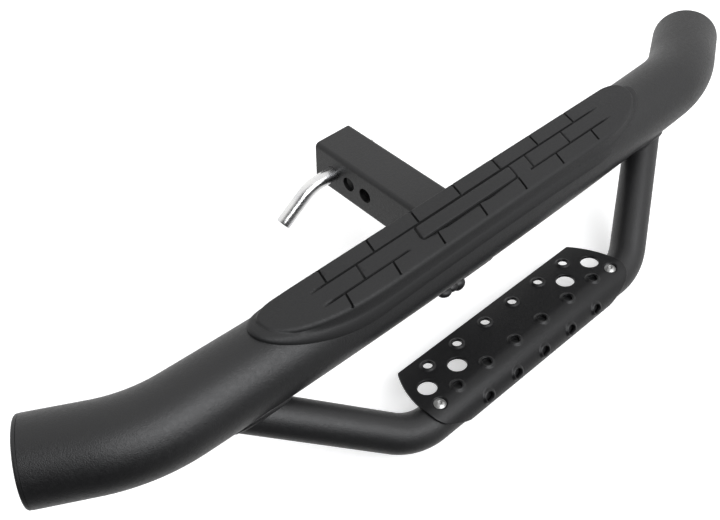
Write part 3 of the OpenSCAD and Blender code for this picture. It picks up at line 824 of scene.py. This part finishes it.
def end_cap(side):
    x, y, h = main_half[-1]
    def place(p):
        q = Vector((x + math.cos(h) * p.z - math.sin(h) * p.y, y + math.sin(h) * p.z + math.cos(h) * p.y,
                    p.x))
        return at_tube(Vector((side * q.x, q.y, q.z)))
    skirt_r = TUBE_R - TUBE_WALL - CAP_FIT
    seam = 0.5
    profile = [(0, CAP_LIP - 0.5)] + [(r, CAP_LIP - 0.5 + 0.5 * (r / 33) ** 2) for r in (8, 16, 24, 30, 33)]
    profile += arc(TUBE_R - CAP_ROUND - 0.2, CAP_LIP - CAP_ROUND, CAP_ROUND, 90, 0, 8)
    profile += [(TUBE_R - 0.2, seam), (TUBE_R - 0.7, 0.02), (skirt_r, 0.02), (skirt_r, -CAP_SKIRT_L + 1),
                (skirt_r - 1, -CAP_SKIRT_L), (skirt_r - CAP_SKIRT_T, -CAP_SKIRT_L),
                (skirt_r - CAP_SKIRT_T, 0.4), (0, 0.4)]
    word = "right" if side > 0 else "left"
    ob = turning("end_plug_" + word, profile, 96, "cap_plastic", "step", "end_cap_" + word, place=place)
    sharp(ob, 35)


for side in (1, -1):
    end_cap(side)


def hexagon_r(a):
    """Distance from the middle to a hexagon of unit inradius at angle a."""
    return 1 / math.cos((a % (math.pi / 3)) - math.pi / 6)


def screw(side):
    """A button head screw: dome, hexagon socket and a threaded shank."""
    steps, verts, faces = 72, [], []
    dome_r = (SCREW_HEAD_R ** 2 + SCREW_HEAD_H ** 2) / (2 * SCREW_HEAD_H)
    hex_r = HEX_ACROSS / 2
    def dome(r):
        return SCREW_HEAD_H - dome_r + math.sqrt(dome_r ** 2 - r * r)
    rings = [(SCREW_R - 0.5, -SCREW_L, 0), (SCREW_R, -SCREW_L + 0.6, 0)]
    pitch = 1.25
    turns = int((SCREW_L - 3.5) / pitch)
    for k in range(turns):
        h = -SCREW_L + 1.0 + k * pitch
        root = SCREW_R - 0.6
        rings += [(SCREW_R, h, 0), (root, h + pitch * 0.4, 0), (root, h + pitch * 0.55, 0)]
    rings += [(SCREW_R, -1.2, 0), (SCREW_R, -0.02, 0), (SCREW_HEAD_R - 0.35, 0.0, 0),
              (SCREW_HEAD_R - 0.05, 0.25, 0), (SCREW_HEAD_R - 0.08, 0.6, 0)]
    rings += [(r, dome(r), 0) for r in (5.5, 5.0, 4.4, 3.8, 3.2, 2.85)]
    rings += [(hex_r + 0.25, dome(2.6), 0.8), (hex_r, dome(2.4) - 0.3, 1),
              (hex_r - 0.02, SCREW_HEAD_H - HEX_DEPTH, 1)]
    for r, h, mix in rings:
        for k in range(steps):
            a = 2 * math.pi * k / steps
            rr = r * (1 + mix * (hexagon_r(a) - 1))
            verts.append((rr * math.cos(a), rr * math.sin(a), h))
    for i in range(len(rings) - 1):
        for k in range(steps):
            n = (k + 1) % steps
            faces.append([i * steps + k, i * steps + n, (i + 1) * steps + n, (i + 1) * steps + k])
    faces.append(list(range(steps)))
    last = (len(rings) - 1) * steps
    verts.append((0, 0, SCREW_HEAD_H - HEX_DEPTH - 0.6))
    faces += [[last + k, last + (k + 1) % steps, len(verts) - 1] for k in range(steps)]
    word = "right" if side > 0 else "left"
    turn = 0.3 * side
    def place(p):
        c, s = math.cos(turn), math.sin(turn)
        q = Vector((p.x * c - p.y * s, p.x * s + p.y * c, p.z + plate_r - SCREW_SINK))
        return at_run(q + Vector((side * SCREW_X, 0, 0)))
    ob = make("button_screw_" + word, verts, faces, "screw_steel", "step", "plate_screw_" + word,
              place=place)
    sharp(ob, 30)


for side in (1, -1):
    screw(side)


def swept(name, path, radii, around, slot, body, *nodes):
    """A round bar along a path of points, with a radius at each, closed by flat ends."""
    verts, faces = [], []
    n = len(path)
    side = None
    for i in range(n):
        t = (path[min(i + 1, n - 1)] - path[max(i - 1, 0)]).normalized()
        side = (Vector((0.3, 0.5, 0.81)) if side is None else side)
        side = (side - t * side.dot(t)).normalized()
        up = t.cross(side)
        for k in range(around):
            a = 2 * math.pi * k / around
            verts.append(path[i] + (side * math.cos(a) + up * math.sin(a)) * radii[i])
    for i in range(n - 1):
        for k in range(around):
            m = (k + 1) % around
            faces.append([i * around + k, i * around + m, (i + 1) * around + m, (i + 1) * around + k])
    faces.append(list(range(around)))
    faces.append([(n - 1) * around + k for k in range(around)])
    ob = make(name, verts, faces, slot, body, *nodes)
    sharp(ob, 35)
    return ob


def pin():
    """The hitch pin: a turned tip, a straight shank and a handle bent down, with a cropped end."""
    path, radii = [], []
    def add(x, z, r):
        path.append(Vector((x, 0, z)))
        radii.append(r)
    for k in range(7):
        a = math.pi / 2 * k / 6
        add(PIN_TIP_X - PIN_CHAMFER * (1 - math.cos(a)), 0, PIN_R - PIN_CHAMFER * (1 - math.sin(a)))
    for x in np.linspace(PIN_TIP_X - PIN_CHAMFER - 1, -PIN_BEND_X, 40):
        add(float(x), 0, PIN_R)
    for k in range(1, 25):
        a = HANDLE_A * k / 24
        add(-PIN_BEND_X - HANDLE_BEND_R * math.sin(a), -HANDLE_BEND_R * (1 - math.cos(a)), PIN_R)
    bx, bz = -PIN_BEND_X - HANDLE_BEND_R * math.sin(HANDLE_A), -HANDLE_BEND_R * (1 - math.cos(HANDLE_A))
    ends = [(t, PIN_R) for t in np.linspace(1, HANDLE_L - 1.6, 14)] + [
        (HANDLE_L - 0.9, PIN_R - 0.12), (HANDLE_L - 0.35, PIN_R - 0.45), (HANDLE_L, PIN_R - 1.1)]
    for t, r in ends:
        add(bx - float(t) * math.cos(HANDLE_A), bz - float(t) * math.sin(HANDLE_A), r)
    return swept("pin_bar", path, radii, 72, "pin_zinc", "pin", "hitch_pin")


pin()


def clip():
    """A hairpin clip: a straight leg, a loop below and a bowed leg that ends in a flared tip."""
    hump = PIN_R + CLIP_R + CLIP_OFF
    yz = [(0, z) for z in np.linspace(PIN_R + CLIP_TOP, -CLIP_LEG, 24)]
    yz += [(hump / 2 - hump / 2 * math.cos(a), -CLIP_LEG - hump / 2 * math.sin(a))
           for a in np.linspace(0.1, math.pi - 0.1, 18)]
    yz += [(hump, z) for z in np.linspace(-CLIP_LEG, -1.5, 16)]
    yz += [(hump * math.cos(a), hump * math.sin(a)) for a in np.linspace(0, CLIP_WRAP, 14)]
    y, z = yz[-1]
    heading = CLIP_WRAP + math.pi / 2
    for k in range(8):
        heading -= math.radians(11)
        y, z = y + 0.9 * math.cos(heading), z + 0.9 * math.sin(heading)
        yz.append((y, z))
    path = [Vector((CLIP_X, float(y), float(z))) for y, z in yz]
    n = len(path)
    radii = [CLIP_R * min(1.0, 0.72 + 0.28 * min(i, n - 1 - i) / 1.0) for i in range(n)]
    return swept("clip_wire", path, radii, 28, "spring_steel", "pin", "hairpin_clip")


clip()


# Camera at the photograph's angle

def camera():
    data = bpy.data.cameras.new("camera")
    data.sensor_width = SENSOR_W
    data.lens = FOCAL_PX / IMAGE_W * SENSOR_W
    data.clip_start, data.clip_end = 0.05, 50
    cam = bpy.data.objects.new("camera", data)
    bpy.context.scene.collection.objects.link(cam)
    cam.location = (CAMERA_FROM_TUBE + TUBE_AT) * MM
    cam.rotation_euler = (math.pi / 2 - CAMERA_EL, 0, CAMERA_AZ)
    bpy.context.scene.camera = cam


camera()


# Floor, backdrop and light

def staged(name, verts, faces, colour, glow):
    """Part of the studio: the camera sees it, and it sends no light back to the object."""
    me = bpy.data.meshes.new(name)
    me.from_pydata(verts, [], faces)
    m, nt, b = shader(name, 0.9, 0.0, 0.1)
    b.inputs["Base Color"].default_value = (colour, colour, colour, 1)
    b.inputs["Emission Color"].default_value = (1, 1, 1, 1)
    b.inputs["Emission Strength"].default_value = glow
    me.materials.append(m)
    ob = bpy.data.objects.new(name, me)
    bpy.context.scene.collection.objects.link(ob)
    ob.visible_diffuse = ob.visible_glossy = ob.visible_shadow = False


def studio():
    z, w = -0.0975, 6.0
    staged("floor", [(-w, -w, z), (w, -w, z), (w, w, z), (-w, w, z)], [[0, 1, 2, 3]], 0.93, 0.45)
    steps, r, top = 48, 5.8, 5.0
    ring = [(r * math.cos(2 * math.pi * k / steps), r * math.sin(2 * math.pi * k / steps))
            for k in range(steps)]
    verts = [(x, y, z) for x, y in ring] + [(x, y, top) for x, y in ring]
    walls = [[k, (k + 1) % steps, steps + (k + 1) % steps, steps + k] for k in range(steps)]
    staged("backdrop", verts, walls, 0.0, 1.0)


def area(name, where, aim, size, power, colour=(1, 1, 1), size_y=None):
    data = bpy.data.lights.new(name, "AREA")
    data.energy, data.size, data.color = power, size, colour
    if size_y:
        data.shape, data.size_y = "RECTANGLE", size_y
    ob = bpy.data.objects.new(name, data)
    ob.location = where
    ob.rotation_euler = (Vector(aim) - Vector(where)).to_track_quat("-Z", "Y").to_euler()
    bpy.context.scene.collection.objects.link(ob)


def world(back, stops):
    """Light from all round, by how far a direction points to the back of the studio."""
    w = bpy.data.worlds.new("world")
    w.use_nodes = True
    nt = w.node_tree
    way = node(nt, "ShaderNodeTexCoord").outputs["Generated"]
    dot = node(nt, "ShaderNodeVectorMath", operation="DOT_PRODUCT")
    dot.inputs[1].default_value = back
    nt.links.new(way, dot.inputs[0])
    half = node(nt, "ShaderNodeMapRange")
    half.inputs["From Min"].default_value = -1.0
    nt.links.new(dot.outputs["Value"], half.inputs["Value"])
    sky = ramp(nt, half.outputs["Result"], stops)
    nt.links.new(sky.outputs["Color"], nt.nodes["Background"].inputs["Color"])
    bpy.context.scene.world = w


studio()
world((0.64, 0.77, 0.0), [(0.0, (0.01,)), (0.12, (0.02,)), (0.26, (0.22,)), (0.36, (0.5,)),
                          (0.5, (0.9,)), (1.0, (1.0,))])
area("key", (-0.1, -1.66, 1.34), (0, -0.2, 0), 2.2, 48, (0.97, 0.98, 1.0), 1.6)
bpy.context.scene.view_settings.view_transform = "Standard"
